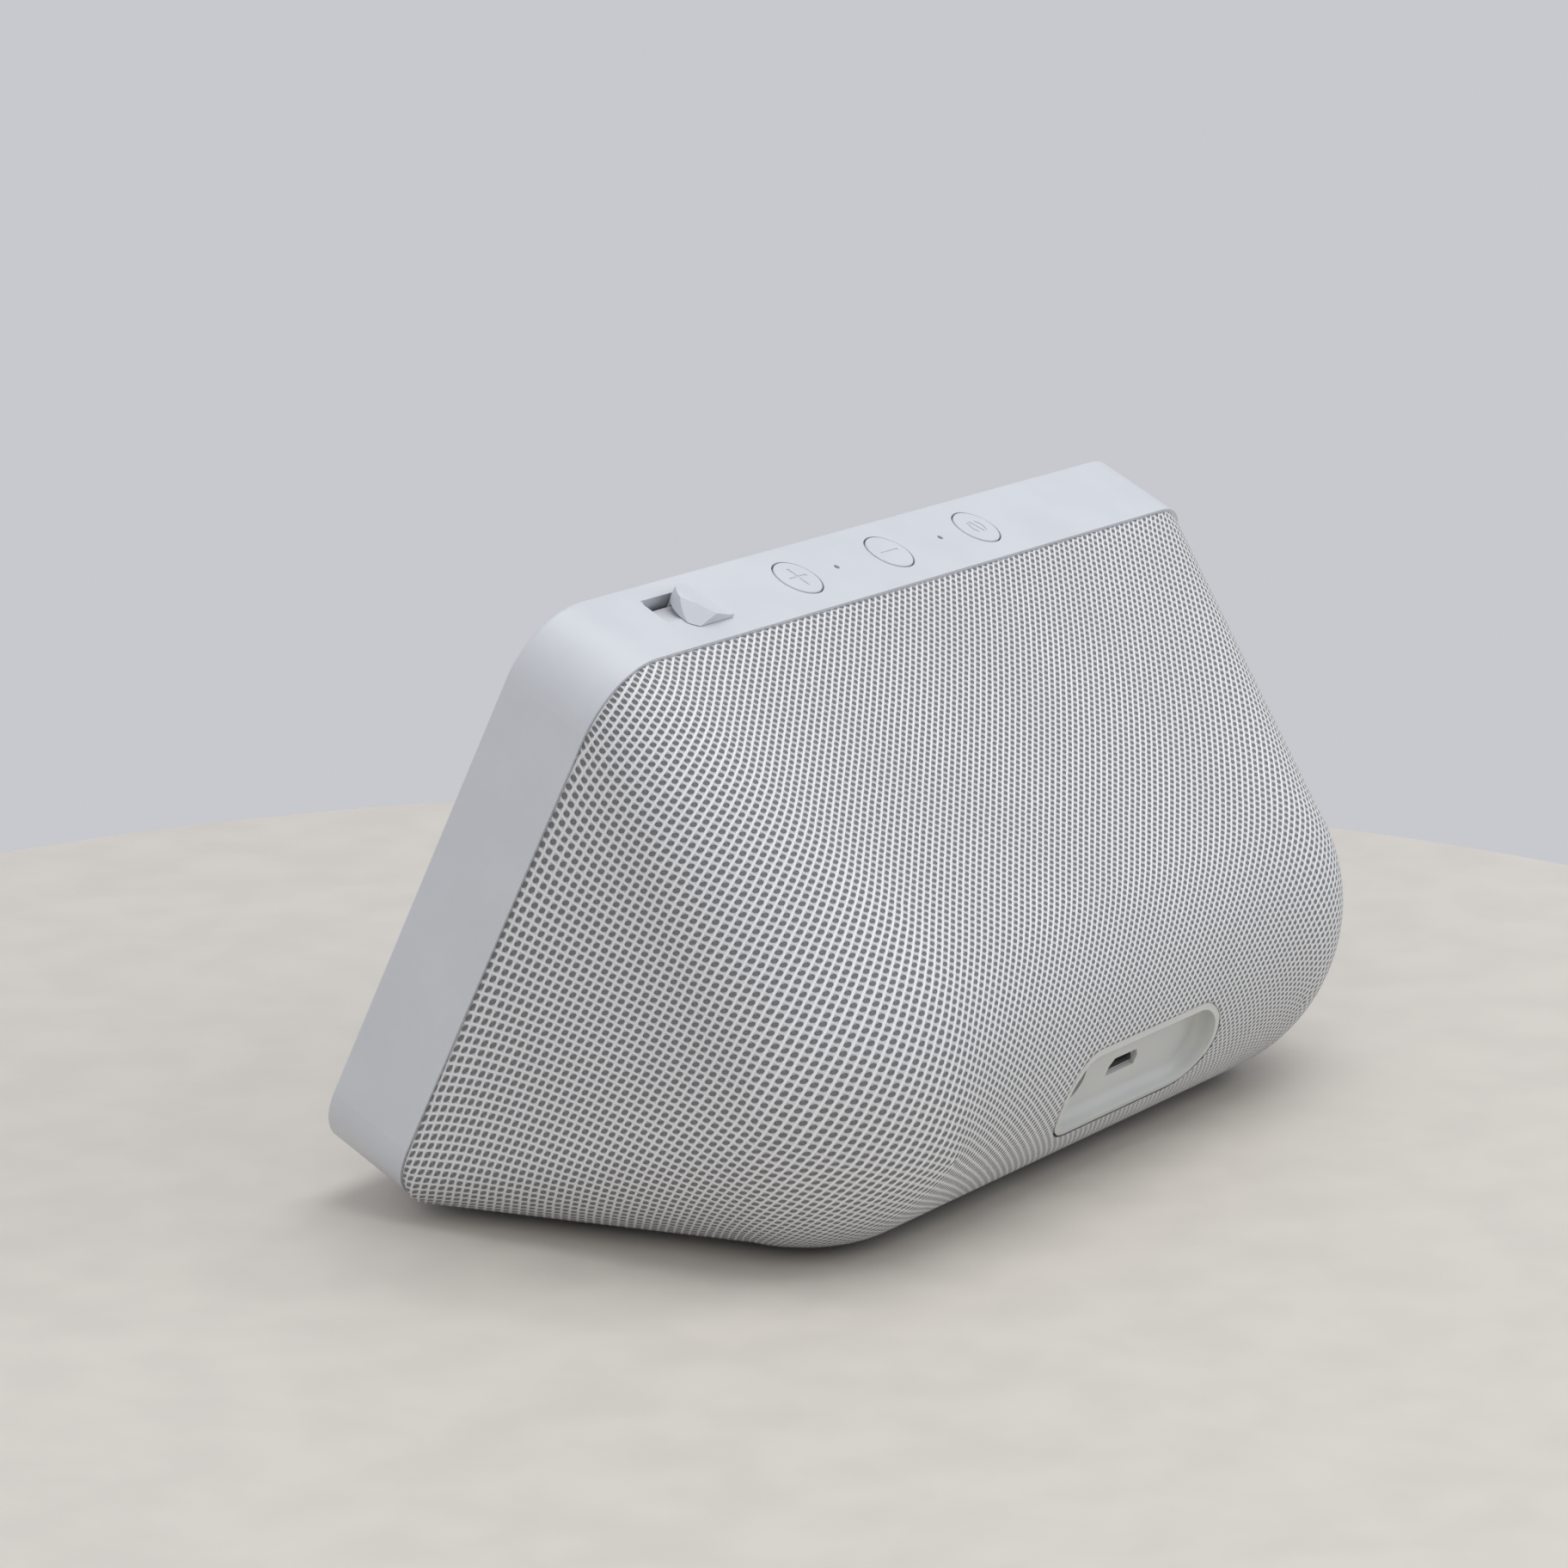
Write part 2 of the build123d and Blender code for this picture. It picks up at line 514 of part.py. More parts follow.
# ================================================================ housing, fabric, base
port_cut = PORT * (Pos(0, 0, -PORT_DEPTH - 4) * extrude(port_outline(GAP), PORT_DEPTH + 12))


def rear_housing():
    outer = body_solid(FABRIC_THICK + FABRIC_GAP, FABRIC_THICK + FABRIC_GAP)
    inner = body_solid(INSIDE, INSIDE)
    shell = outer - inner
    # rim that plugs into the back of the frame
    rim = slab(WIDTH - 2 * WALL - 2 * GAP, FRAME_LENGTH - 2 * WALL - 2 * GAP, FRAME_RADIUS - WALL - GAP,
               TONGUE + 1.2, (0, FRAME_LENGTH / 2, -FRAME_DEPTH + TONGUE))
    rim -= slab(WIDTH - 4 * WALL - 2 * GAP, FRAME_LENGTH - 4 * WALL, FRAME_RADIUS - 2 * WALL,
                TONGUE + 20, (0, FRAME_LENGTH / 2, -FRAME_DEPTH + 10))
    for x, v in BOSSES:
        ear = rod(BOSS_RADIUS + 0.8, TONGUE, (x, v, -FRAME_DEPTH + TONGUE))
        rim = (rim + ear) - rod(SCREW_RADIUS + 0.2, 20, (x, v, -FRAME_DEPTH + 10))
    shell += (SCREEN * rim) - below_base(FABRIC_THICK + FABRIC_GAP)
    shell -= port_cut
    shell -= extrude(hatch_outline(GAP), 12)
    # grille in front of the loudspeaker
    row = GRILLE_PITCH * sqrt(3) / 2
    holes = []
    for j in range(-5, 6):
        for i in range(-6, 7):
            x, y = (i + 0.5 * (j % 2)) * GRILLE_PITCH, j * row
            if x * x + y * y < (CONE_RADIUS + 0.5)**2:
                holes.append(SPEAKER * rod(GRILLE_HOLE, 8, (x, y, 5)))
    return shell - holes


save("rear_housing", rear_housing())


def fabric_cover():
    skin = body_solid(0, 0) - body_solid(FABRIC_THICK, FABRIC_THICK)
    skin -= PORT * (Pos(0, 0, -PORT_DEPTH) * extrude(port_outline(GAP), PORT_DEPTH + 8))
    skin -= extrude(foot_outline(FOOT_GAP), 8)
    return skin


save("fabric_cover", fabric_cover())
PAD_SEAT = BASE_LIFT + FABRIC_THICK + FABRIC_GAP       # underside of the housing
foot = fillet(extrude(foot_outline(), PAD_SEAT - SEAT).edges().group_by(Axis.Z)[0], 0.8)
save("foot_pad", foot)


def base_plate():
    """Hatch plate with a flange that overlaps the housing's floor from inside."""
    plate = Pos(0, 0, PAD_SEAT) * extrude(hatch_outline(), HOUSING_WALL)
    lip_z = BASE_LIFT + INSIDE + SEAT
    lip = Pos(0, 0, lip_z - 0.3) * extrude(hatch_outline(-0.3), BASE_PLATE_THICK)
    lip += Pos(0, 0, lip_z) * extrude(hatch_outline(4.0), BASE_PLATE_THICK)
    return plate + lip


save("base_plate", base_plate())

# ================================================================ ports
def usb_outline(extra):
    """Micro-type socket mouth: a wide flat bottom and cut upper corners."""
    w, h = USB_WIDTH / 2 + extra, USB_HEIGHT / 2 + extra
    return make_face(Polyline((-w, -h), (w, -h), (w, h - USB_CUT - 0.3), (w - USB_CUT, h), (-w + USB_CUT, h),
                              (-w, h - USB_CUT - 0.3), close=True))


def port_recess():
    """Moulded cup with a rounded floor edge; its lip follows the body's skin."""
    cup = Pos(0, 0, PORT_FLOOR - PORT_FLOOR_THICK) * extrude(port_outline(), PORT_DEPTH + PORT_FLOOR_THICK + 6)
    well = Pos(0, 0, PORT_FLOOR) * extrude(port_outline(-PORT_WALL), PORT_DEPTH + 8)
    well = fillet(well.edges().group_by(Axis.Z)[0], PORT_FILLET)
    cup -= well
    cup -= rod(DC_RADIUS, 2 * PORT_FLOOR_THICK + 2, (DC_OFFSET, 0, PORT_FLOOR + 1))
    cup -= Pos(0, -USB_DROP, PORT_FLOOR + 1) * extrude(usb_outline(0.2), -2 * PORT_FLOOR_THICK - 2)
    return (PORT * cup) & body_solid(0, 0)


save("port_recess", port_recess())
JACK_FRONT = PORT_FLOOR - PORT_FLOOR_THICK - SEAT


def dc_jack():
    body = block(DC_BODY, (DC_OFFSET, 0, JACK_FRONT))
    body = fillet(body.edges().filter_by(Axis.Z), 0.6)
    body -= rod(DC_RADIUS, DC_DEPTH, (DC_OFFSET, 0, JACK_FRONT))
    return PORT * body


save("dc_jack", dc_jack())
pin = rod(DC_PIN_RADIUS, DC_DEPTH - 1.5, (DC_OFFSET, 0, JACK_FRONT - 1.5))
save("dc_jack_pin", PORT * fillet(pin.edges().group_by(Axis.Z)[-1], 0.4))


usb_front = PORT_FLOOR - 0.5
shell = Pos(0, -USB_DROP, usb_front) * extrude(usb_outline(0), -USB_DEPTH)
shell -= Pos(0, -USB_DROP, usb_front) * extrude(usb_outline(-USB_WALL), -USB_DEPTH + USB_WALL)
save("usb_shell", PORT * shell)
tongue_top = usb_front - 0.9
save("usb_tongue", PORT * block((3.6, 0.6, USB_DEPTH - USB_WALL - 0.95), (0, -USB_DROP - 0.25, tongue_top)))
board_top = JACK_FRONT - DC_BODY[2] - SEAT
save("port_board", PORT * block(PORT_BOARD, (PORT_BOARD_OFFSET, 0, board_top)))

# ================================================================ loudspeaker (axis out through the back)


def ring(outer, inner, thick, z):
    return rod(outer, thick, (0, 0, z)) - rod(inner, 3 * thick + 1, (0, 0, z + thick))


save("speaker_gasket", SPEAKER * ring(BASKET_RADIUS, BASKET_RADIUS - 2.4, GASKET_THICK, 0))
flange_z = -GASKET_THICK - SEAT


def speaker_basket():
    outer = make_face(Polyline((0, flange_z), (BASKET_RADIUS, flange_z), (BASKET_RADIUS, flange_z - BASKET_FLANGE),
                               (BASKET_RADIUS - 2, flange_z - BASKET_FLANGE),
                               (BASKET_BOTTOM, flange_z - BASKET_DEPTH), (0, flange_z - BASKET_DEPTH), close=True))
    inner = make_face(Polyline((0, flange_z + 1), (BASKET_RADIUS - 2.6, flange_z + 1),
                               (BASKET_RADIUS - 2.6, flange_z - BASKET_FLANGE),
                               (BASKET_BOTTOM - BASKET_WALL, flange_z - BASKET_DEPTH + BASKET_WALL),
                               (0, flange_z - BASKET_DEPTH + BASKET_WALL), close=True))
    basket = revolve(Plane.XZ * outer, Axis.Z) - revolve(Plane.XZ * inner, Axis.Z)
    basket -= rod(COIL_RADIUS + 4 * COIL_GAP, 2 * BASKET_DEPTH, (0, 0, 0))
    for k in range(6):
        window = Pos(BASKET_RADIUS - 4.5, 0, flange_z - BASKET_FLANGE - 1.2) * Box(9, 6, 6.5, align=(
            Align.CENTER, Align.CENTER, Align.MAX))
        basket -= Rot(0, 0, 60 * k) * window
    return SPEAKER * basket


save("speaker_basket", speaker_basket())
motor_z = flange_z - BASKET_DEPTH - SEAT
save("speaker_top_plate", SPEAKER * ring(MAGNET_RADIUS, COIL_RADIUS + COIL_GAP, PLATE_THICK, motor_z))
save("speaker_magnet", SPEAKER * ring(MAGNET_RADIUS, COIL_RADIUS + 4 * COIL_GAP, MAGNET_THICK,
                                      motor_z - PLATE_THICK - SEAT))
yoke_z = motor_z - PLATE_THICK - MAGNET_THICK - 2 * SEAT
pole = rod(POLE_RADIUS, PLATE_THICK + MAGNET_THICK + 2 * SEAT + 0.5, (0, 0, motor_z))
yoke = rod(MAGNET_RADIUS, PLATE_THICK, (0, 0, yoke_z)) + pole
save("speaker_yoke", SPEAKER * yoke)
cone_z = flange_z - 1.35


def speaker_cone():
    """Paper cone with its dust cap and the coil former in one moving piece."""
    neck = COIL_RADIUS + COIL_THICK
    profile = make_face(Polyline((CONE_RADIUS, cone_z), (CONE_RADIUS, cone_z - CONE_THICK),
                                 (neck, cone_z - CONE_DEPTH - CONE_THICK), (neck - COIL_THICK, cone_z - CONE_DEPTH),
                                 close=True))
    return SPEAKER * revolve(Plane.XZ * profile, Axis.Z)


save("speaker_cone", speaker_cone())
dome_z = cone_z - CONE_DEPTH + 0.1
cap_rise = 2.0
cap_radius = (COIL_RADIUS**2 + cap_rise**2) / (2 * cap_rise)
cap_face = Sphere(cap_radius) - Sphere(cap_radius - 0.4)
cap_face = Pos(0, 0, dome_z + cap_rise - cap_radius) * cap_face
save("dust_cap", SPEAKER * (cap_face - rod(60, 80, (0, 0, dome_z + 0.15))))
coil_top = cone_z - CONE_DEPTH - 0.15
save("voice_coil", SPEAKER * ring(COIL_RADIUS, COIL_RADIUS - COIL_THICK, COIL_LENGTH, coil_top))
roll = (BASKET_RADIUS - 2.9 - (CONE_RADIUS + 0.3)) / 2
roll_mid = CONE_RADIUS + 0.3 + roll
half = Pos(roll_mid, 0) * (Circle(roll) - Circle(roll - 0.35))
half = half - Pos(roll_mid, -roll) * Rectangle(4 * roll, 2 * roll)
surround = revolve(Plane.XZ * Pos(0, cone_z) * half, Axis.Z)
save("cone_surround", SPEAKER * surround)

# ================================================================ boards and small parts
MAIN_M = -MAIN_BOARD_DEPTH
main = block(MAIN_BOARD, (0, MAIN_BOARD_V, MAIN_M))
save("main_board", SCREEN * main)
save("processor_shield", SCREEN * block(SHIELD, (-14, MAIN_BOARD_V + 4, MAIN_M - MAIN_BOARD[2] - SEAT)))
save("wireless_shield", SCREEN * block((20, 16, 1.8), (26, MAIN_BOARD_V + 6, MAIN_M - MAIN_BOARD[2] - SEAT)))
spreader = slab(SPREADER[0], SPREADER[1], 3.0, SPREADER[2], (0, MAIN_BOARD_V, MAIN_M + SPREADER[2] + 0.6))
save("heat_spreader", SCREEN * spreader)
antennas = [block(ANTENNA, (sx * (WIDTH / 2 - WALL - 0.6), 40, -5.5)).solid() for sx in (-1, 1)]
save("wireless_antennas", SCREEN * Compound(children=antennas))


def flex_cable(width, x, points):
    """Flat cable: a thin ribbon bent through (v, m) points of the screen's frame."""
    line = Polyline(*points)
    ribbon = offset(line, CABLE_THICK / 2, kind=Kind.INTERSECTION)
    return SCREEN * Pos(x, 0, 0) * extrude(Plane.YZ * make_face(ribbon), width / 2, both=True)


panel_foot = PANEL_CENTRE - PANEL_HEIGHT / 2
board_foot = MAIN_BOARD_V - MAIN_BOARD[1] / 2
cable_m = MAIN_M - MAIN_BOARD[2] - CABLE_THICK - SEAT      # cables lie on the board's rear face
save("display_cable", flex_cable(22, 0, [(panel_foot + 3, BRACKET_M - BRACKET_THICK - 0.4),
                                         (panel_foot + 1, BRACKET_M - BRACKET_THICK - 0.4),
                                         (board_foot - 2.5, MAIN_M + 2.5), (board_foot - 2.5, cable_m),
                                         (board_foot + 4, cable_m)]))
board_end = FRAME_LENGTH + BOARD_TOP - SWITCH_BOARD[2] - 0.4
save("control_cable", flex_cable(9, 0, [(board_end, -8.5), (board_end - 1.2, -9.5), (64, -12),
                                        (60, cable_m), (54, cable_m)]))
port_point = SCREEN.to_local_coords(PORT.from_local_coords((0, -3, board_top - PORT_BOARD[2] - 0.4)))
save("port_cable", flex_cable(8, 16, [(port_point.Y, port_point.Z), (port_point.Y - 5, port_point.Z),
                                       (board_foot + 9, -32), (board_foot + 9, cable_m - 4),
                                       (board_foot + 7, cable_m), (board_foot + 1, cable_m)]))

screws = []
for x, v in BOSSES:
    head = rod(SCREW_HEAD, SCREW_HEAD_THICK, (x, v, -FRAME_DEPTH - SEAT))
    shaft = rod(SCREW_RADIUS - 0.3, TONGUE + 3.2, (x, v, -FRAME_DEPTH + TONGUE + 3.0))
    screws.append((head + shaft).solid())
save("frame_screws", SCREEN * Compound(children=screws))
print("depth", round(REAR_Y - FRONT_Y, 2), "lift", round(LIFT, 2), "middle behind the edge", round(MIDDLE_Y, 3))
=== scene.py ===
# %% [markdown]
# # Smart speaker
# The frame of the model comes from CAD: every hard part is already in place, in metres, with +Z up
# and the screen facing -Y.  This lesson gives it its looks: a knitted net over the speaker body,
# moulded plastic with a fine grain, glass, rubber, and a camera and light to see them by.

# %% Load the frame
from math import acos, asin, atan2, cos, pi, radians, sin, sqrt, tan

import bmesh
import bpy
import numpy as np
from mathutils import Matrix, Vector


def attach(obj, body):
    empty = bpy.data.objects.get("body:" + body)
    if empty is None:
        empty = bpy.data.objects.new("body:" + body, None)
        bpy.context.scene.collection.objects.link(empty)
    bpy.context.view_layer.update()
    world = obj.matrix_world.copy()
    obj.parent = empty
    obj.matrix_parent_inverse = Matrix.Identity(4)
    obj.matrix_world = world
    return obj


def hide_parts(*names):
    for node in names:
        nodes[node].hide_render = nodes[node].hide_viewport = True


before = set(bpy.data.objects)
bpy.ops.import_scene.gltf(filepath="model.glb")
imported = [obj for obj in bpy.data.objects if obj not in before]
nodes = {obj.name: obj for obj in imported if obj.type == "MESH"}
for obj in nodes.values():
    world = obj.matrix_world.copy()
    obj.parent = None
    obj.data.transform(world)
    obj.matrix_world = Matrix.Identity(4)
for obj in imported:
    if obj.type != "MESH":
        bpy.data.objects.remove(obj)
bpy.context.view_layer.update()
MM = 0.001

# %% [markdown]
# ## Camera
# A long lens far away shows little perspective.  The camera looks at the rear corner from the left
# and from above.  A camera looks along its own -Z, so its rotation is the matrix whose columns are
# its right, up and backward directions.

# %% Camera
CAMERA_AT = Vector((0.60864, 0.39430, 0.22034))
CAMERA_LOOK = Vector((-0.80657, -0.54509, -0.22873))
LENS_MM, SENSOR_MM = 122.72, 36.0
NEAREST, FARTHEST = 0.05, 20     # the camera sees between these distances, in metres


def make_camera():
    """A camera whose right-hand direction is level: right = look x up, up = right x look."""
    right = CAMERA_LOOK.cross(Vector((0, 0, 1))).normalized()
    up = right.cross(CAMERA_LOOK).normalized()
    data = bpy.data.cameras.new("camera")
    data.lens, data.sensor_width = LENS_MM, SENSOR_MM
    data.clip_start, data.clip_end = NEAREST, FARTHEST
    camera = bpy.data.objects.new("camera", data)
    bpy.context.collection.objects.link(camera)
    axes = Matrix((right, up, -CAMERA_LOOK.normalized())).transposed().to_4x4()
    camera.matrix_world = Matrix.Translation(CAMERA_AT) @ axes
    bpy.context.scene.camera = camera


make_camera()

# %% [markdown]
# ## Table and light
# The object stands on a plain round table top in a light room.  Most of the light is the room's own
# even glow; soft lamps act as windows: a large one above, a cool one behind the speaker body
# and a weak one at its side.  The bigger the lamp, the softer the shadow's edge.

# %% Table and light
TABLE_COLOUR = (0.66, 0.62, 0.56)
WALL_COLOUR = (0.575, 0.583, 0.617)
TABLE_RADIUS, TABLE_CENTRE = 0.205, (0.010, -0.017)
TABLE_DROP = 0.00002     # the table top lies this far below the foot, so the two don't coincide


def new_object(name, data):
    made = bpy.data.objects.new(name, data)
    bpy.context.collection.objects.link(made)
    return made


def disc(radius, rings=24, spokes=128):
    """Flat disc: points at ring radius times (cos, sin) of the spoke angle, all at z = 0."""
    r = np.linspace(0, radius, rings + 1)[1:, None]
    a = np.linspace(0, 2 * pi, spokes, endpoint=False)[None, :]
    points = np.stack([r * np.cos(a), r * np.sin(a), 0 * r * a], -1).reshape(-1, 3)
    points = np.vstack([[0, 0, 0], points])
    spoke = np.arange(spokes)
    following = (spoke + 1) % spokes
    middle = np.stack([0 * spoke, spoke + 1, following + 1], -1)
    ring = np.arange(rings - 1)[:, None] * spokes + 1
    quads = np.stack([ring + spoke, ring + spoke + spokes,
                      ring + following + spokes, ring + following], -1)
    return points, middle.tolist() + quads.reshape(-1, 4).tolist()


def lamp(name, at, aim, size, power, colour):
    data = bpy.data.lights.new(name, "AREA")
    data.shape, data.size, data.energy, data.color = "DISK", size, power, colour
    light = new_object(name, data)
    light.location = at
    light.rotation_euler = (Vector(aim) - Vector(at)).to_track_quat("-Z", "Y").to_euler()


table_points, table_faces = disc(TABLE_RADIUS)
table_mesh = bpy.data.meshes.new("table")
table_mesh.from_pydata((table_points + [*TABLE_CENTRE, -TABLE_DROP]).tolist(), [], table_faces)
table = new_object("table", table_mesh)
lamp("window_above", (-0.05, 0.25, 1.25), (0, 0, 0.04), 1.1, 6.8, (1.0, 1.0, 1.0))
lamp("window_side", (1.10, 0.45, 0.60), (0, 0, 0.05), 0.5, 2.0, (1.0, 0.99, 0.97))
lamp("window_behind", (-0.75, 1.15, 0.75), (0, 0, 0.05), 0.9, 4, (0.9, 0.95, 1.0))
world = bpy.data.worlds.new("room")
bpy.context.scene.world = world
world.use_nodes = True
world.node_tree.nodes["Background"].inputs["Color"].default_value = (*WALL_COLOUR, 1)
world.node_tree.nodes["Background"].inputs["Strength"].default_value = 1.0
bpy.context.scene.view_settings.view_transform = "Standard"

# %% [markdown]
# ## Material helpers
# A node group is one effect, built once and used by many materials.  Its sockets are made with
# interface.new_socket.  Groups put out masks and heights only; the shader stays in each material.

# %% Material helpers


class Tree:
    """A node tree with short calls: add a node, set its inputs by name or number, link sockets."""

    def __init__(self, tree):
        self.tree = tree

    def link(self, value, socket):
        self.tree.links.new(value, socket)

    def add(self, kind, inputs=None, **settings):
        node = self.tree.nodes.new(kind)
        for key, value in settings.items():
            setattr(node, key, value)
        for key, value in (inputs or {}).items():
            if isinstance(value, bpy.types.NodeSocket):
                self.link(value, node.inputs[key])
            else:
                node.inputs[key].default_value = value
        return node

    def math(self, operation, a, b=0.0, c=0.0):
        return self.add("ShaderNodeMath", {0: a, 1: b, 2: c}, operation=operation).outputs[0]

    def ramp(self, value, low, high, to_low=0.0, to_high=1.0):
        """Smooth step of value from low..high to to_low..to_high."""
        inputs = {"Value": value, "From Min": low, "From Max": high,
                  "To Min": to_low, "To Max": to_high}
        step = self.add("ShaderNodeMapRange", inputs, interpolation_type="SMOOTHSTEP")
        return step.outputs["Result"]

    def mix(self, factor, a, b):
        node = self.add("ShaderNodeMix", {"Factor": factor}, data_type="RGBA")
        for socket, value in ((node.inputs[6], a), (node.inputs[7], b)):
            if isinstance(value, bpy.types.NodeSocket):
                self.link(value, socket)
            else:
                socket.default_value = (*value, 1)
        return node.outputs[2]

    def noise(self, vector, scale, detail=2.0, roughness=0.5):
        inputs = {"Vector": vector, "Scale": scale, "Detail": detail, "Roughness": roughness}
        return self.add("ShaderNodeTexNoise", inputs).outputs["Fac"]


def make_group(name, inputs, outputs):
    """Empty node group with its sockets; returns the group, its Tree and its input node."""
    group = bpy.data.node_groups.new(name, "ShaderNodeTree")
    for socket, kind, default in inputs:
        made = group.interface.new_socket(socket, in_out="INPUT", socket_type=kind)
        if default is not None:
            made.default_value = default
    for socket in outputs:
        group.interface.new_socket(socket, in_out="OUTPUT", socket_type="NodeSocketFloat")
    tree = Tree(group)
    return group, tree, tree.add("NodeGroupInput")


def make_material(name):
    """New node material; returns it with its Tree, its shader and its Object coordinates."""
    material = bpy.data.materials.new(name)
    material.use_nodes = True
    tree = Tree(material.node_tree)
    shader = material.node_tree.nodes["Principled BSDF"]
    place = tree.add("ShaderNodeTexCoord").outputs["Object"]
    return material, tree, shader, place


# %% [markdown]
# ## Moulded grain
# Injection-moulded plastic copies the etched steel of its mould: a very fine, even pebble with a
# slight cloudiness in its shine.  Two scales of noise do this: one for the pebble, one for the cloud.

# %% Moulded grain group


def build_grain_group():
    group, tree, given = make_group(
        "moulded_grain",
        [("Vector", "NodeSocketVector", None), ("Pebble Size", "NodeSocketFloat", 0.25),
         ("Cloud Size", "NodeSocketFloat", 12.0)],
        ["Pebble", "Cloud"])
    place, pebble_size, cloud_size = given.outputs[:3]
    pebble = tree.noise(place, tree.math("DIVIDE", 1 / MM, pebble_size), 2.0, 0.6)
    cloud = tree.noise(place, tree.math("DIVIDE", 1 / MM, cloud_size), 3.0, 0.5)
    tree.add("NodeGroupOutput", {"Pebble": pebble, "Cloud": cloud})
    return group


GRAIN = build_grain_group()


def plastic(name, colour, roughness, pebble=0.25, depth=0.012, mottle=0.04):
    """Moulded plastic: base colour shaded a little by the cloud, roughness by cloud and pebble."""
    material, tree, shader, place = make_material(name)
    grain = tree.add("ShaderNodeGroup", node_tree=GRAIN)
    tree.link(place, grain.inputs["Vector"])
    grain.inputs["Pebble Size"].default_value = pebble
    darker = tuple(c * (1 - mottle) for c in colour)
    tint = tree.mix(tree.ramp(grain.outputs["Cloud"], 0.3, 0.7), darker, colour)
    rough = tree.ramp(grain.outputs["Cloud"], 0.3, 0.7, roughness - 0.04, roughness + 0.05)
    bump = tree.add("ShaderNodeBump", {"Height": grain.outputs["Pebble"], "Distance": depth * MM,
                                       "Strength": 1.0})
    tree.link(tint, shader.inputs["Base Color"])
    tree.link(rough, shader.inputs["Roughness"])
    tree.link(bump.outputs["Normal"], shader.inputs["Normal"])
    shader.inputs["Specular IOR Level"].default_value = 0.45
    return material


def metal(name, colour, roughness, grain=0.4):
    """Sheet metal with a rolled grain: noise stretched along X varies colour and roughness."""
    material, tree, shader, place = make_material(name)
    stretched = tree.add("ShaderNodeMapping", {"Vector": place, "Scale": (0.08, 1, 1)}).outputs["Vector"]
    streak = tree.noise(stretched, 1 / (grain * MM), 3.0, 0.6)
    tint = tree.mix(streak, tuple(c * 0.85 for c in colour), colour)
    bump = tree.add("ShaderNodeBump", {"Height": streak, "Distance": 0.01 * MM, "Strength": 1.0})
    tree.link(tint, shader.inputs["Base Color"])
    tree.link(tree.ramp(streak, 0.2, 0.8, roughness, roughness + 0.15), shader.inputs["Roughness"])
    tree.link(bump.outputs["Normal"], shader.inputs["Normal"])
    shader.inputs["Metallic"].default_value = 1.0
    return material


# %% [markdown]
# ## Finishes
# The frame and its buttons are one light grey plastic; the recess at the rear is the same plastic,
# its colour a little warmer as painted warm light bounced up from the table.  Parts that nobody sees
# still get a true finish, because the parts can be shown apart.

# %% Finishes
LIGHT_GREY = (0.61, 0.63, 0.66)
frame_plastic = plastic("light_grey_plastic", LIGHT_GREY, 0.46)
# same grey plastic, its colour tinted warmer as painted bounce light from the table
recess_plastic = plastic("recess_plastic", (0.60, 0.61, 0.59), 0.42)
dark_plastic = plastic("black_plastic", (0.02, 0.02, 0.022), 0.42)
housing_plastic = plastic("housing_plastic", (0.10, 0.10, 0.105), 0.5)
white_film = plastic("white_film", (0.82, 0.82, 0.80), 0.5, pebble=0.6, depth=0.004)
board_mask = plastic("board_mask", (0.01, 0.10, 0.05), 0.35, pebble=0.8, depth=0.01, mottle=0.3)
cable_film = plastic("cable_film", (0.55, 0.28, 0.06), 0.35, pebble=1.5, depth=0.01, mottle=0.2)
magnet_ferrite = plastic("ferrite", (0.05, 0.05, 0.055), 0.6, pebble=0.5, depth=0.03, mottle=0.3)
cone_paper = plastic("pressed_paper", (0.03, 0.03, 0.03), 0.8, pebble=0.9, depth=0.05, mottle=0.4)
soft_rubber = plastic("soft_rubber", (0.025, 0.025, 0.026), 0.72, pebble=0.4, depth=0.02)
foot_rubber = plastic("foot_rubber", (0.17, 0.17, 0.175), 0.78, pebble=0.5, depth=0.03, mottle=0.15)
steel = metal("steel_sheet", (0.62, 0.61, 0.60), 0.28)
aluminium = metal("aluminium_sheet", (0.80, 0.80, 0.81), 0.3)
gold = metal("gold_plate", (0.85, 0.62, 0.28), 0.22)
copper = metal("copper_wire", (0.80, 0.42, 0.22), 0.3, grain=0.2)


def glass(name, colour, roughness):
    """Dark printed glass: near black under a clear polished face, with faint smears in its shine."""
    material, tree, shader, place = make_material(name)
    smear = tree.noise(place, 1 / (18 * MM), 4.0, 0.6)
    tree.link(tree.ramp(smear, 0.35, 0.75, roughness, roughness + 0.06), shader.inputs["Roughness"])
    tree.link(tree.mix(smear, colour, tuple(c * 1.3 for c in colour)), shader.inputs["Base Color"])
    shader.inputs["Coat Weight"].default_value = 1.0
    shader.inputs["Coat Roughness"].default_value = 0.02
    shader.inputs["IOR"].default_value = 1.52
    return material


screen_glass = glass("screen_glass", (0.006, 0.006, 0.008), 0.05)
lens_glass = glass("lens_glass", (0.01, 0.008, 0.03), 0.02)

FINISH = {
    frame_plastic: "front_frame shutter_slider mute_button volume_down_button volume_up_button",
    recess_plastic: "port_recess",
    dark_plastic: "camera_module light_sensor shutter_blade dc_jack usb_tongue",
    housing_plastic: "rear_housing base_plate",
    white_film: "backlight_unit",
    board_mask: "switch_board port_board main_board",
    cable_film: "display_cable control_cable port_cable",
    magnet_ferrite: "speaker_magnet",
    cone_paper: "speaker_cone dust_cap",
    soft_rubber: "mic_seals speaker_gasket cone_surround",
    foot_rubber: "foot_pad",
    steel: "display_bracket usb_shell speaker_basket speaker_top_plate speaker_yoke processor_shield "
           "wireless_shield frame_screws",
    aluminium: "heat_spreader microphones",
    gold: "dome_switches dc_jack_pin wireless_antennas",
    copper: "voice_coil",
    screen_glass: "cover_glass display_panel",
    lens_glass: "camera_lens",
}
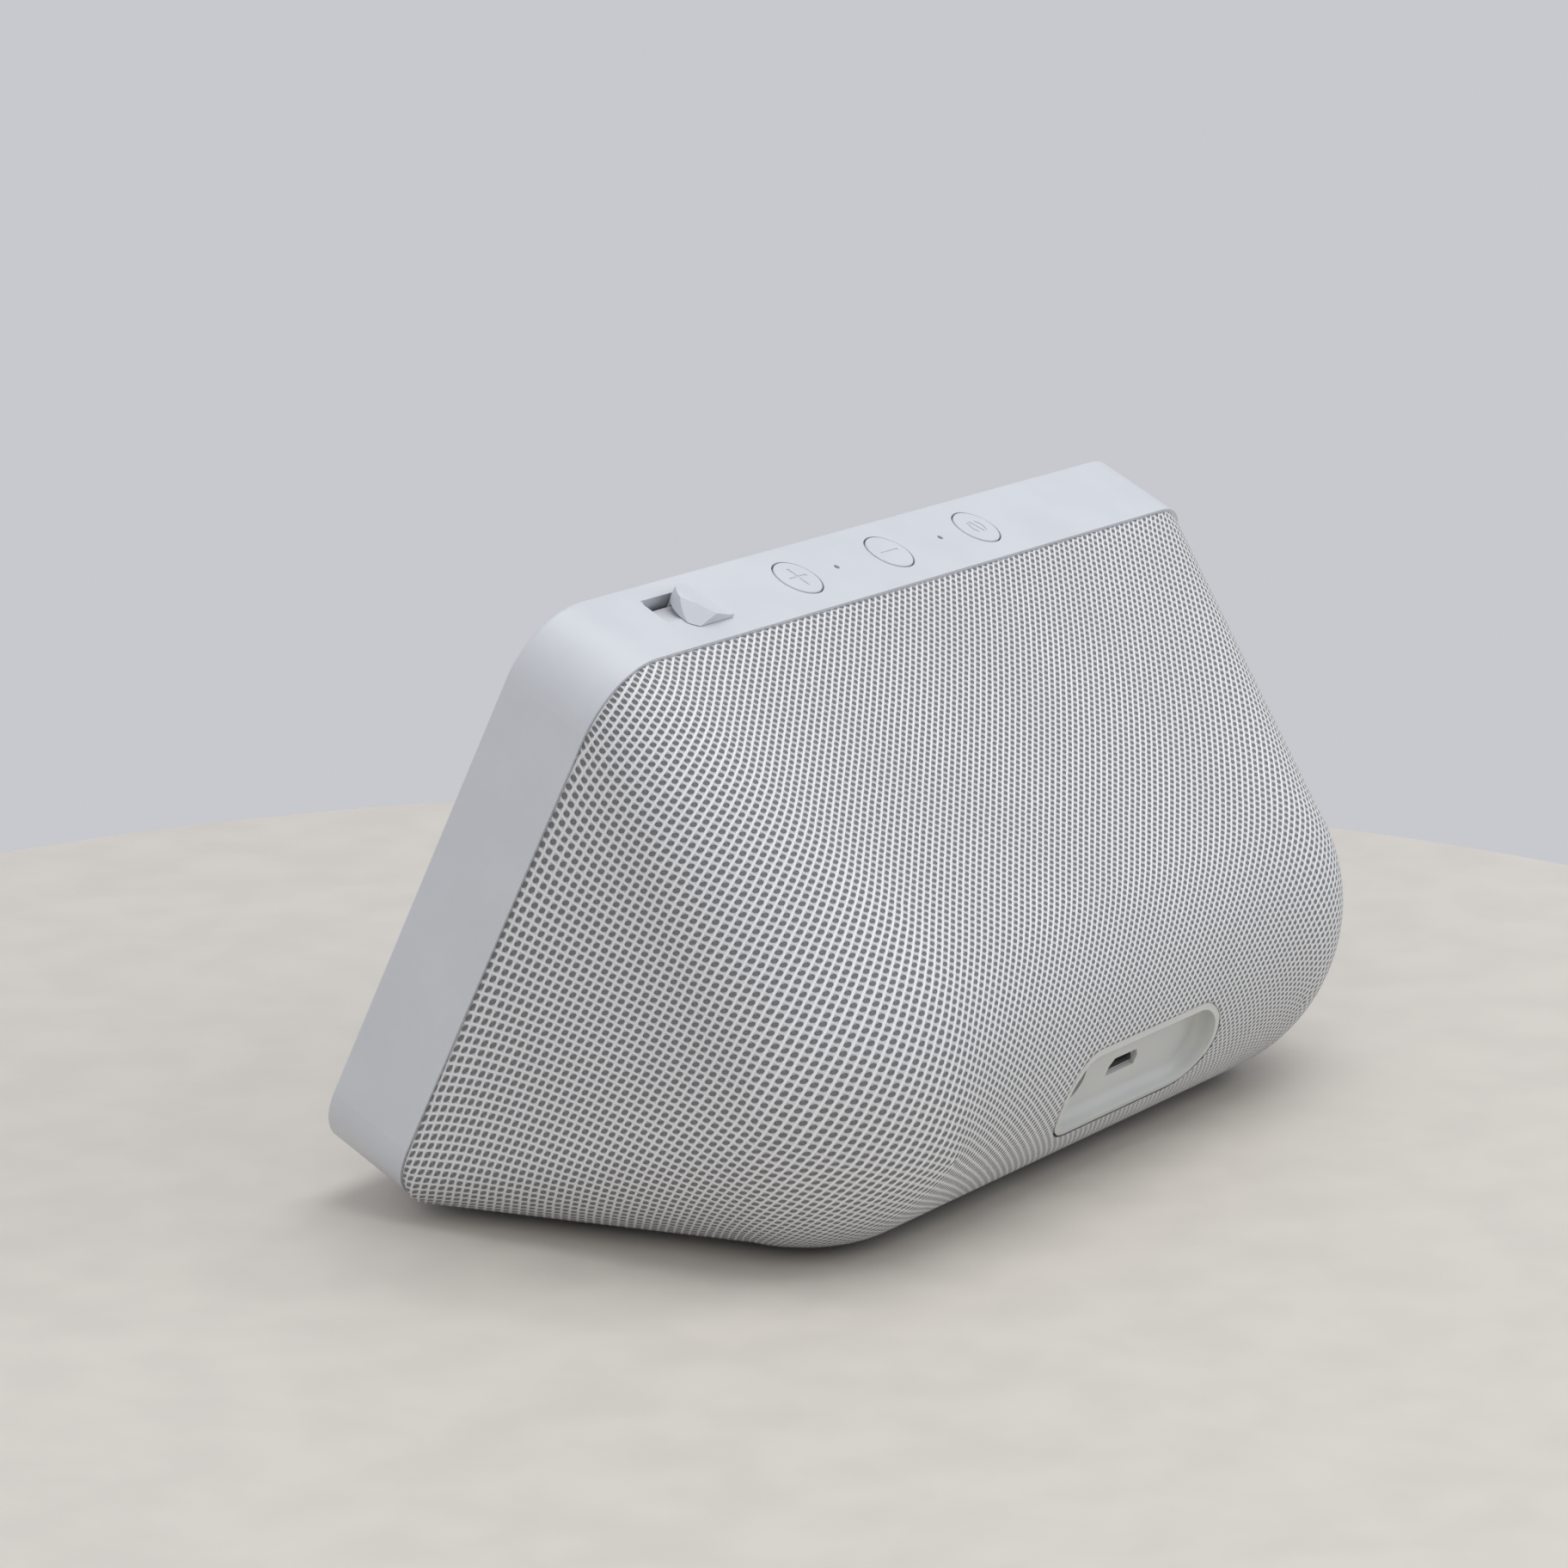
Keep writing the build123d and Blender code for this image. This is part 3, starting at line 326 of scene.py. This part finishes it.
for finish, names in FINISH.items():
    for node in names.split():
        mesh = nodes[node].data
        mesh.materials.clear()
        mesh.materials.append(finish)
print("finished nodes:", sum(len(names.split()) for names in FINISH.values()), "of", len(nodes))

# %% [markdown]
# ## Table finish
# A pale surface with a hint of cloudiness, so that the soft shadow has something to fall on.

# %% Table finish
table.data.materials.append(plastic("table_top", TABLE_COLOUR, 0.55, pebble=1.5, depth=0.01, mottle=0.05))

# %% [markdown]
# ## The speaker body's surface
# The knit follows the rear body: seen square to the screen, each cross-section is a rounded shape
# with tight corners at the seam that grow into one big rounding at the rear.  Between the seam and
# the rear rounding the corners are cones, so a flat cloth can lie there without stretching.  The
# surface is a function of depth (from the seam) and of the place around the section.

# %% Body surface
WIDTH, FRAME_LENGTH, FRAME_DEPTH = 148.0, 87.0, 13.9
SCREEN_TILT = radians(26.3)
LIFT = 86.0 - FRAME_LENGTH * cos(SCREEN_TILT)
REACH, NOSE, NOSE_HEIGHT, NOSE_INSET, NOSE_RISE = 33.8, 26.3, 0.3, 0.6, 0.23
SEAM_INSET, SEAM_RADIUS, LOW_RADIUS, LOW_START = 0.4, 9.5, 7.6, 1.85
LOW_V = REACH * tan(SCREEN_TILT) + NOSE + NOSE_RISE
TOP_V = LOW_V + NOSE_HEIGHT
NOSE_X = WIDTH / 2 - SEAM_INSET - NOSE_INSET - NOSE
SEAM_TOP = FRAME_LENGTH - SEAM_INSET
FRONT_Y = 0.7 * (sin(SCREEN_TILT) + cos(SCREEN_TILT) - 1)
REAR_Y = (FRAME_DEPTH + REACH) * cos(SCREEN_TILT) + TOP_V * sin(SCREEN_TILT) + NOSE
MIDDLE_Y = (FRONT_Y + REAR_Y) / 2


def tangent_angle(rise):
    return acos(-NOSE / sqrt(REACH**2 + rise**2)) - atan2(rise, REACH)


BLEND_ANGLE = (tangent_angle(SEAM_TOP - TOP_V) + tangent_angle(LOW_V - SEAM_INSET)) / 2
BLEND = REACH + NOSE * cos(BLEND_ANGLE)
BLEND_RADIUS = NOSE * sin(BLEND_ANGLE)
# the base plane meets the rear rounding here, on the rounding's lower side
EXIT_DROP = (NOSE + NOSE_RISE) * cos(SCREEN_TILT)
EXIT_ALONG = sqrt(NOSE**2 - EXIT_DROP**2)
EXIT_DEPTH = REACH + EXIT_ALONG * cos(SCREEN_TILT) + EXIT_DROP * sin(SCREEN_TILT)


def corner_circles(depth):
    """Centre x, centre v and radius of the top and the bottom corner circle at each depth.

    Before BLEND each runs straight from the seam's corner to the rear rounding's; past it the
    radius is the height of a circle of radius NOSE over its centre line at REACH.
    """
    rounding = np.sqrt(np.maximum(NOSE**2 - (depth - REACH)**2, 0))
    half = WIDTH / 2 - SEAM_INSET

    def corner(radius, sign, edge, v_end, start):
        share = np.clip((depth - start) / (BLEND - start), 0, 1)
        begin = (half - radius, edge - sign * radius, radius)
        x, v, r = (a + (b - a) * share for a, b in zip(begin, (NOSE_X, v_end, BLEND_RADIUS)))
        return x, v, np.where(depth > BLEND, rounding, r)

    low = np.maximum(LOW_RADIUS, SEAM_RADIUS + (LOW_RADIUS - SEAM_RADIUS) * depth / LOW_START)
    return corner(SEAM_RADIUS, 1, SEAM_TOP, TOP_V, 0), corner(low, -1, SEAM_INSET, LOW_V, LOW_START)


def to_row(x, v, depth):
    """Section coordinates in mm (x, v up the slant, depth behind the seam) to the frame, in metres."""
    y = -MIDDLE_Y + v * sin(SCREEN_TILT) + (FRAME_DEPTH + depth) * cos(SCREEN_TILT)
    z = LIFT + v * cos(SCREEN_TILT) - (FRAME_DEPTH + depth) * sin(SCREEN_TILT)
    return np.stack([x + 0 * y, y + 0 * x, z + 0 * x], -1) * MM


ARC_LOW, SIDE, ARC_TOP, EDGE = 16, 26, 30, 46     # points on each stretch of half a section
STRAIGHT_ROWS = 44                                # rows between the seam and the rear rounding


def half_section(depth):
    """Right half of each section, from the base plane up and over to x = 0.

    It is the bottom corner's arc from where the base plane cuts it, the straight side, the top
    corner's arc and half of the top edge, each with a fixed number of points.
    """
    (xt, vt, rt), (xb, vb, rb) = corner_circles(depth)
    across, up = xt - xb, vt - vb
    side = np.arctan2(up, across) - np.arccos(np.clip((rb - rt) / np.hypot(across, up), -1, 1))
    base = depth * tan(SCREEN_TILT)
    start = np.arcsin(np.clip((base - vb) / np.maximum(rb, 1e-6), -1, 0))
    start = np.where(depth >= EXIT_DEPTH - 1e-6, -pi / 2, start)

    def arc(x, v, r, a, b, count, last):
        share = np.linspace(0, 1, count + 1)[None, : count + last]
        angle = a[:, None] + (b - a)[:, None] * share
        return x[:, None] + r[:, None] * np.cos(angle), v[:, None] + r[:, None] * np.sin(angle)

    x1, v1 = arc(xb, vb, rb, start, side, ARC_LOW, 0)
    x3, v3 = arc(xt, vt, rt, side, 0 * side + pi / 2, ARC_TOP, 0)
    share = np.linspace(0, 1, SIDE + 1)[None, :-1]
    foot = np.stack([xb + rb * np.cos(side), vb + rb * np.sin(side)])
    head = np.stack([xt + rt * np.cos(side), vt + rt * np.sin(side)])
    x2, v2 = (foot[k][:, None] + (head - foot)[k][:, None] * share for k in (0, 1))
    share = np.linspace(0, 1, EDGE + 1)[None, :]
    x4, v4 = xt[:, None] * (1 - share), (vt + rt)[:, None] + 0 * share
    return np.hstack([x1, x2, x3, x4]), np.hstack([v1, v2, v3, v4])


# %% [markdown]
# ## The knit as a sheet
# The grid runs from the right foot edge over the top to the left foot edge, and from the seam to the
# rear.  The knit's edge is tucked into the seam, so the first rows dip inwards and leave a thin dark
# line.  Below the rear rounding a small strip joins the lower edge to the tip.

# %% Knit sheet
TUCK = ((0.0, 0.55), (0.0, 0.2), (0.12, 0.03))   # depth and inset in mm of the tucked rows
FIRST_DEPTH = 0.35                                # depth of the first row past the tuck
ROUND_ROWS, TIP_ROWS = 18, 20                     # rows on the rear rounding: outer part, tip
MERGE, SLIVER = 0.015, 0.001                      # points and edges nearer than this become one


def grid_faces(rows, columns, first=0):
    """Quads of a rows x columns grid of points, numbered row by row from first."""
    at = first + np.arange(rows * columns).reshape(rows, columns)
    return np.stack([at[:-1, :-1], at[:-1, 1:], at[1:, 1:], at[1:, :-1]], -1).reshape(-1, 4)


def sheet_points():
    """The sheet's grid of points in metres, and each point's x in mm."""
    ends = [asin((d - REACH) / NOSE) for d in (BLEND, EXIT_DEPTH)] + [pi / 2]
    depth = np.concatenate([
        np.linspace(FIRST_DEPTH, BLEND, STRAIGHT_ROWS, endpoint=False),
        REACH + NOSE * np.sin(np.linspace(ends[0], ends[1], ROUND_ROWS, endpoint=False)),
        REACH + NOSE * np.sin(np.linspace(ends[1], ends[2], TIP_ROWS))])
    x, v = half_section(depth)
    tucked = []
    for tuck_depth, inset in TUCK:
        tx, tv = half_section(np.array([tuck_depth]))
        tucked.append((tx * (1 - inset / (WIDTH / 2)), FRAME_LENGTH / 2 + (tv - FRAME_LENGTH / 2) * (
            1 - inset / (FRAME_LENGTH / 2))))
    x = np.vstack([t[0] for t in tucked] + [x])
    v = np.vstack([t[1] for t in tucked] + [v])
    depth = np.concatenate([[t[0] for t in TUCK], depth])[:, None]
    x, v = np.hstack([x, -x[:, -2::-1]]), np.hstack([v, v[:, -2::-1]])
    return to_row(x, v, depth), x


def lower_strip(x_points):
    """Underside of the rear rounding: x across, angle from the tip down to the base's rear edge."""
    to_base = np.linspace(pi / 2, asin((EXIT_DEPTH - REACH) / NOSE), TIP_ROWS)
    angle = np.concatenate([[pi / 2], to_base])[:, None]
    v = LOW_V - NOSE * np.cos(angle)
    v[0] = TOP_V
    x = x_points[None, :]
    return to_row(x, v + 0 * x, REACH + NOSE * np.sin(angle) + 0 * x)


def mesh_from(name, points, faces):
    made = bpy.data.meshes.new(name)
    made.from_pydata(points.reshape(-1, 3).tolist(), [], faces.tolist())
    return made


def build_sheet():
    points, x = sheet_points()
    rows, columns = x.shape
    edge = x[-1, ARC_LOW + SIDE + ARC_TOP: columns - ARC_LOW - SIDE - ARC_TOP]
    strip = lower_strip(edge)
    faces = np.vstack([grid_faces(rows, columns)[:, ::-1],
                       grid_faces(*strip.shape[:2], first=rows * columns)[:, ::-1]])
    cloth = mesh_from("fabric_knit", np.vstack([points.reshape(-1, 3), strip.reshape(-1, 3)]), faces)
    work = bmesh.new()
    work.from_mesh(cloth)
    bmesh.ops.remove_doubles(work, verts=work.verts, dist=MERGE * MM)
    bmesh.ops.dissolve_degenerate(work, edges=work.edges, dist=SLIVER * MM)
    work.to_mesh(cloth)
    work.free()
    return cloth


knit = new_object("fabric_knit", build_sheet())

# %% [markdown]
# ## Laying the knit flat
# The holes of a real knit keep their size wherever the cloth goes, so the pattern must be drawn in
# the cloth's own flat coordinates.  Blender flattens the sheet with as little stretch as it can and
# spreads what stretch there is over the rear corners and sides.  The result is then turned and
# scaled so that one unit is one millimetre and the rows run level across the back.

# %% Flat coordinates
BACK_Z, BACK_X = (45, 72), 40     # heights and half width in mm of the sloping back's flat middle


def unwrap(piece):
    """Flatten the sheet, then fit u to x and v to the down-slope distance on the sloping back."""
    mesh = piece.data
    mesh.uv_layers.new(name="flat")
    bpy.context.view_layer.objects.active = piece
    piece.select_set(True)
    bpy.ops.object.mode_set(mode="EDIT")
    bpy.ops.mesh.select_all(action="SELECT")
    bpy.ops.uv.unwrap(method="MINIMUM_STRETCH", margin=0.0)
    bpy.ops.object.mode_set(mode="OBJECT")
    piece.select_set(False)
    flat = np.empty(len(mesh.loops) * 2)
    mesh.uv_layers["flat"].data.foreach_get("uv", flat)
    flat = flat.reshape(-1, 2)
    corner = np.empty(len(mesh.loops), int)
    mesh.loops.foreach_get("vertex_index", corner)
    place = np.empty(len(mesh.vertices) * 3)
    mesh.vertices.foreach_get("co", place)
    place = place.reshape(-1, 3)[corner] / MM
    # points of the sloping back's flat middle, and their true flat coordinates
    slope = (place[:, 2] > BACK_Z[0]) & (np.abs(place[:, 0]) < BACK_X) & (place[:, 2] < BACK_Z[1])
    x, z = place[slope, 0], place[slope, 2]
    rise = np.polyfit(z, place[slope, 1], 1)[0]
    wanted = np.stack([x, -z * sqrt(1 + rise**2)], -1)
    given = np.hstack([flat[slope], np.ones((slope.sum(), 1))])
    fit = np.linalg.lstsq(given, wanted, rcond=None)[0]
    flat = np.hstack([flat, np.ones((len(flat), 1))]) @ fit
    mesh.uv_layers["flat"].data.foreach_set("uv", flat.ravel())
    return flat


flat = unwrap(knit)

# %% [markdown]
# ## Cutting the recess and giving the knit its thickness
# A cutter in the recess's shape (a long slot with round ends, turned to face down and back) is taken
# out of the sheet after the sheet has its thickness.

# %% Recess opening
PORT_ANGLE = radians(23.5)
PORT_LENGTH, PORT_HEIGHT = 41.0, 13.9
PORT_GAP, PORT_DROP = 0.22, 0.2    # opening's gap, and how far the cloth sags below the rim
CUTTER_REACH = 8                   # the cutter reaches this far to both sides of the rounding
CLOTH = 0.7                        # thickness of the knit
NOSE_CENTRE = to_row(np.array([0.0]), np.array([LOW_V]), np.array([REACH]))[0]
PORT_OUT = np.array([0, cos(PORT_ANGLE), -sin(PORT_ANGLE)])
PORT_UP = np.array([0, sin(PORT_ANGLE), cos(PORT_ANGLE)])


def slot_outline(grow, count=24):
    """Slot with round ends: two half circles, their centres half the straight length apart."""
    radius = PORT_HEIGHT / 2 + grow
    straight = (PORT_LENGTH - PORT_HEIGHT) / 2
    a = np.linspace(-pi / 2, pi / 2, count)
    right = np.stack([straight + radius * np.cos(a), radius * np.sin(a)], -1)
    return np.vstack([right, -right])


def port_points(outline, out):
    """Outline points (along x, up) at a distance out along the recess's axis, in metres."""
    along = np.array([1.0, 0, 0])
    centre = NOSE_CENTRE + (PORT_OUT * out - PORT_UP * PORT_DROP) * MM
    return centre + (outline[:, :1] * along + outline[:, 1:] * PORT_UP) * MM


def prism(name, outline, inner, outer):
    """Closed prism between two distances along the recess's axis."""
    count = len(outline)
    points = np.vstack([port_points(outline, inner), port_points(outline, outer)])
    k = np.arange(count)
    following = (k + 1) % count
    sides = np.stack([k, following, following + count, k + count], -1).tolist()
    made = bpy.data.meshes.new(name)
    made.from_pydata(points.tolist(), [], sides + [k[::-1].tolist(), (k + count).tolist()])
    made.flip_normals()
    return new_object(name, made)


def bake_modifiers(piece):
    """Replace the piece's mesh by its evaluated mesh and drop the modifiers."""
    graph = bpy.context.evaluated_depsgraph_get()
    mesh = bpy.data.meshes.new_from_object(piece.evaluated_get(graph))
    piece.modifiers.clear()
    piece.data = mesh


def cut_recess(piece):
    thick = piece.modifiers.new("thickness", "SOLIDIFY")
    thick.thickness, thick.offset = CLOTH * MM, -1
    cutter = prism("recess_cutter", slot_outline(PORT_GAP), NOSE - CUTTER_REACH, NOSE + CUTTER_REACH)
    cut = piece.modifiers.new("recess", "BOOLEAN")
    cut.operation, cut.object, cut.solver = "DIFFERENCE", cutter, "EXACT"
    bake_modifiers(piece)
    bpy.data.objects.remove(cutter)


cut_recess(knit)
knit.data.shade_smooth()
print("knit with thickness:", len(knit.data.polygons), "faces")

# %% [markdown]
# ## Knit material
# A warp-knitted net: threads run along both diagonals and bind round small oval holes, through which
# a grey inner layer shows; the holes' dark colour is partly that layer and partly painted shade deep
# in the holes.  The group works in flat millimetres.  Dividing by the cell's size gives a and b; the
# holes sit where both a - b and a + b are whole numbers, so half a period away from them along each
# diagonal lie the two families of threads.  The leading family is the thicker and higher one; on the
# back it also carries a painted sheen that makes it brighter, which gives it its fine lines; towards
# the sides the painted sheen dims and lies on both families alike.

# %% Knit group
CELL = (1.52, 1.46)                        # a row's pitch, and two rows' height
HOLE = (0.47, 0.31)                        # half sizes of a hole
BACK_HALF = (62.0, 84.0)                   # flat distances over which the leading threads' painted sheen fades to both families alike, dimmer
WOBBLE_SCALE, WOBBLE = 0.45, 0.22          # the rows waver: waves per mm, and how far


def build_knit_group():
    group, tree, given = make_group("knit_net", [("Flat", "NodeSocketVector", None)],
                                    ["Height", "Hole", "Leading", "Fibre", "Patch"])

    def vector_math(operation, *inputs):
        given_inputs = dict(enumerate(inputs))
        return tree.add("ShaderNodeVectorMath", given_inputs, operation=operation).outputs

    flat_place = given.outputs["Flat"]
    wobble = tree.add("ShaderNodeTexNoise", {"Vector": flat_place, "Scale": WOBBLE_SCALE, "Detail": 2.0})
    shift = vector_math("SUBTRACT", wobble.outputs["Color"], (0.5, 0.5, 0.5))[0]
    shift = tree.add("ShaderNodeVectorMath", {0: shift, "Scale": WOBBLE}, operation="SCALE").outputs[0]
    place = vector_math("ADD", flat_place, shift)[0]
    cells = vector_math("DIVIDE", place, (*CELL, 1))[0]
    parts = tree.add("ShaderNodeSeparateXYZ", {0: cells}).outputs
    diagonals = [tree.math(kind, parts[0], parts[1]) for kind in ("SUBTRACT", "ADD")]
    # 0 over the holes, 1 on the thread's middle
    waves = [tree.math("COSINE", tree.math("MULTIPLY", d, 2 * pi)) for d in diagonals]
    ridges = [tree.math("MULTIPLY_ADD", wave, -0.5, 0.5) for wave in waves]
    leading_and_sheen, crossing = tree.ramp(ridges[0], 0.35, 0.9), tree.ramp(ridges[1], 0.45, 0.95)
    # nearest hole: distances from the whole and the half points, in hole sizes
    distances = []
    for offset in ((0.5, 0.5, 0), (1, 1, 0)):
        part = vector_math("FRACTION", vector_math("ADD", cells, offset)[0])[0]
        centred = vector_math("SUBTRACT", part, (0.5, 0.5, 0))[0]
        sized = vector_math("MULTIPLY", centred, (CELL[0] / HOLE[0], CELL[1] / HOLE[1], 0))[0]
        distances.append(vector_math("LENGTH", sized)["Value"])
    hole = tree.ramp(tree.math("MINIMUM", *distances), 0.72, 1.12, 1.0, 0.0)
    fibre = tree.noise(place, 7.0, 3.0, 0.65)
    patch = tree.noise(flat_place, 0.035, 2.0, 0.5)
    from_middle = tree.math("ABSOLUTE", tree.add("ShaderNodeSeparateXYZ", {0: flat_place}).outputs[0])
    equal = tree.ramp(from_middle, *BACK_HALF)
    lower = tree.math("MULTIPLY", crossing, tree.ramp(equal, 0, 1, 0.65, 1.0))
    height = tree.math("MAXIMUM", leading_and_sheen, lower)
    # painted sheen: bright threads, strongest on the back's middle and dimmed to 0.6 towards the sides
    bright = tree.math("MAXIMUM", leading_and_sheen, tree.math("MULTIPLY", crossing, equal))
    leading_and_sheen = tree.math("MULTIPLY", bright, tree.ramp(equal, 0, 1, 1.0, 0.6))
    tree.add("NodeGroupOutput", {"Height": height, "Hole": hole, "Leading": leading_and_sheen, "Fibre": fibre,
                                 "Patch": patch})
    return group


KNIT = build_knit_group()
# painted sheen: threads take the first colour where the sheen is full and the second without it
PAINTED_SHEEN_THREAD_COLOUR, THREAD_COLOUR = (0.88, 0.885, 0.90), (0.60, 0.605, 0.615)
# holes: the dark inner layer seen through them, darkened further as painted shade deep in the holes
HOLE_LINING_AND_SHADE_COLOUR = (0.12, 0.12, 0.12)


def knit_material():
    material, tree, shader, _ = make_material("knit")
    net = tree.add("ShaderNodeGroup", node_tree=KNIT)
    tree.link(tree.add("ShaderNodeUVMap", uv_map="flat").outputs["UV"], net.inputs["Flat"])
    # painted sheen: threads brightened where the painted sheen mask is high
    threads = tree.mix(net.outputs["Leading"], THREAD_COLOUR, PAINTED_SHEEN_THREAD_COLOUR)
    worn = tree.math("ADD", tree.math("MULTIPLY", net.outputs["Fibre"], 0.35),
                     tree.ramp(net.outputs["Patch"], 0.35, 0.65, 0.0, 0.15))
    threads = tree.mix(worn, threads, THREAD_COLOUR)
    # hole colour: inner layer plus painted shade in the holes, varied by the fibre noise
    lining_and_hole_shade = tree.mix(net.outputs["Fibre"], HOLE_LINING_AND_SHADE_COLOUR, tuple(2 * c for c in HOLE_LINING_AND_SHADE_COLOUR))
    colour = tree.mix(net.outputs["Hole"], threads, lining_and_hole_shade)
    height = tree.math("MULTIPLY_ADD", net.outputs["Fibre"], 0.2, net.outputs["Height"])
    bump = tree.add("ShaderNodeBump", {"Height": height, "Distance": 0.22 * MM, "Strength": 1.0})
    tree.link(colour, shader.inputs["Base Color"])
    tree.link(tree.ramp(net.outputs["Hole"], 0, 1, 0.62, 0.95), shader.inputs["Roughness"])
    tree.link(bump.outputs["Normal"], shader.inputs["Normal"])
    shader.inputs["Sheen Weight"].default_value = 0.25
    shader.inputs["Sheen Roughness"].default_value = 0.4
    shader.inputs["Specular IOR Level"].default_value = 0.35
    return material


knit_finish = knit_material()
knit.data.materials.clear()
knit.data.materials.append(knit_finish)
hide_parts("fabric_cover")
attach(knit, "housing")
